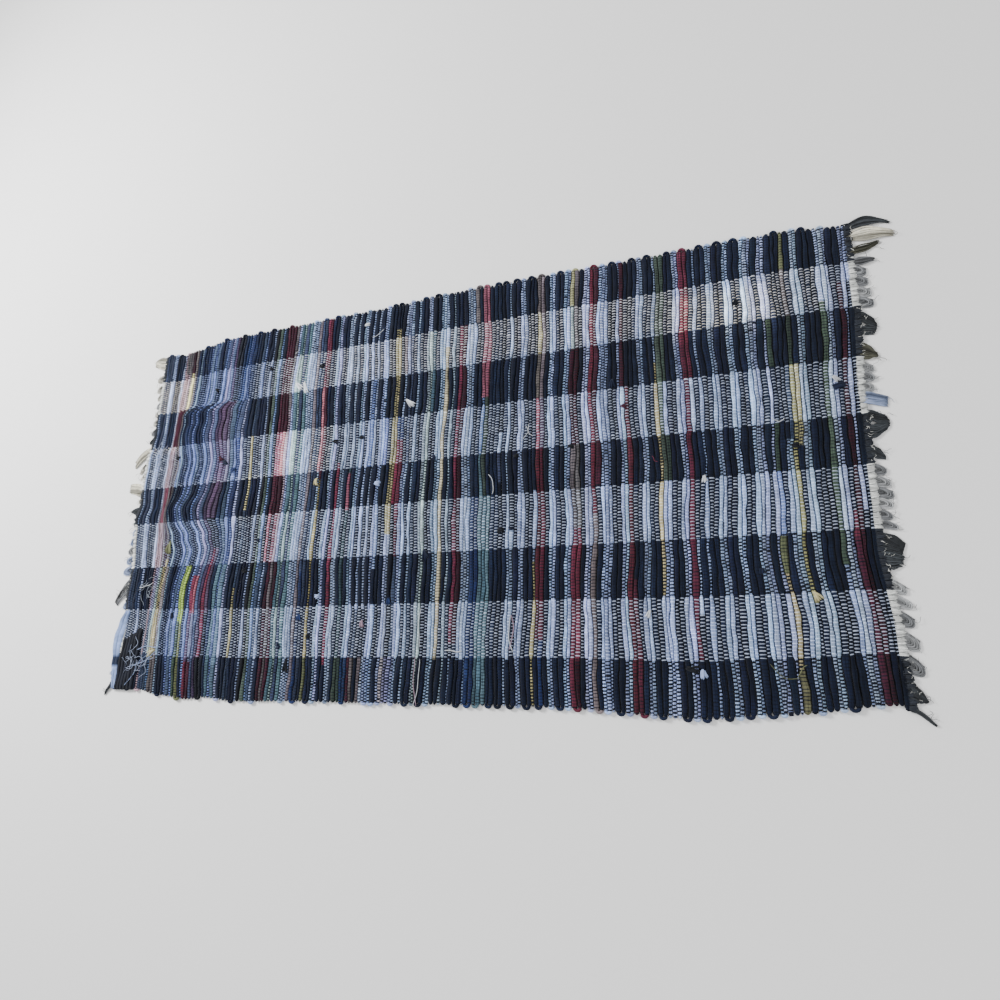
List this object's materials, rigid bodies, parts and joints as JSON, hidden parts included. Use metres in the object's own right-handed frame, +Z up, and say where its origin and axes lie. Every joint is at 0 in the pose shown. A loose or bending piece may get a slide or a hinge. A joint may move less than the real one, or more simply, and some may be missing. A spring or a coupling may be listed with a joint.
{
  "type": "rag rug",
  "caption": "Handwoven rag rug: cotton rag wefts in many blues with red and cream stripes, dark and light warp bands, knotted fringe on both short ends.",
  "frame": {"origin": "under the middle of the rug's bounding box, on the floor that it lies on", "axes": "+X along the warp from the left end to the right end, +Y across the rug away from the viewer, +Z up"},
  "size_m": [1.6426, 0.856, 0.0158],
  "materials": {
    "rag_weave": "rough plain-woven cotton rags, ribbed",
    "warp_fringe": "soft loose cotton warp ends"
  },
  "bodies": {
    "root": {"rug_body": "rag_weave", "fringe_left": "warp_fringe", "fringe_right": "warp_fringe"}
  },
  "joints": []
}
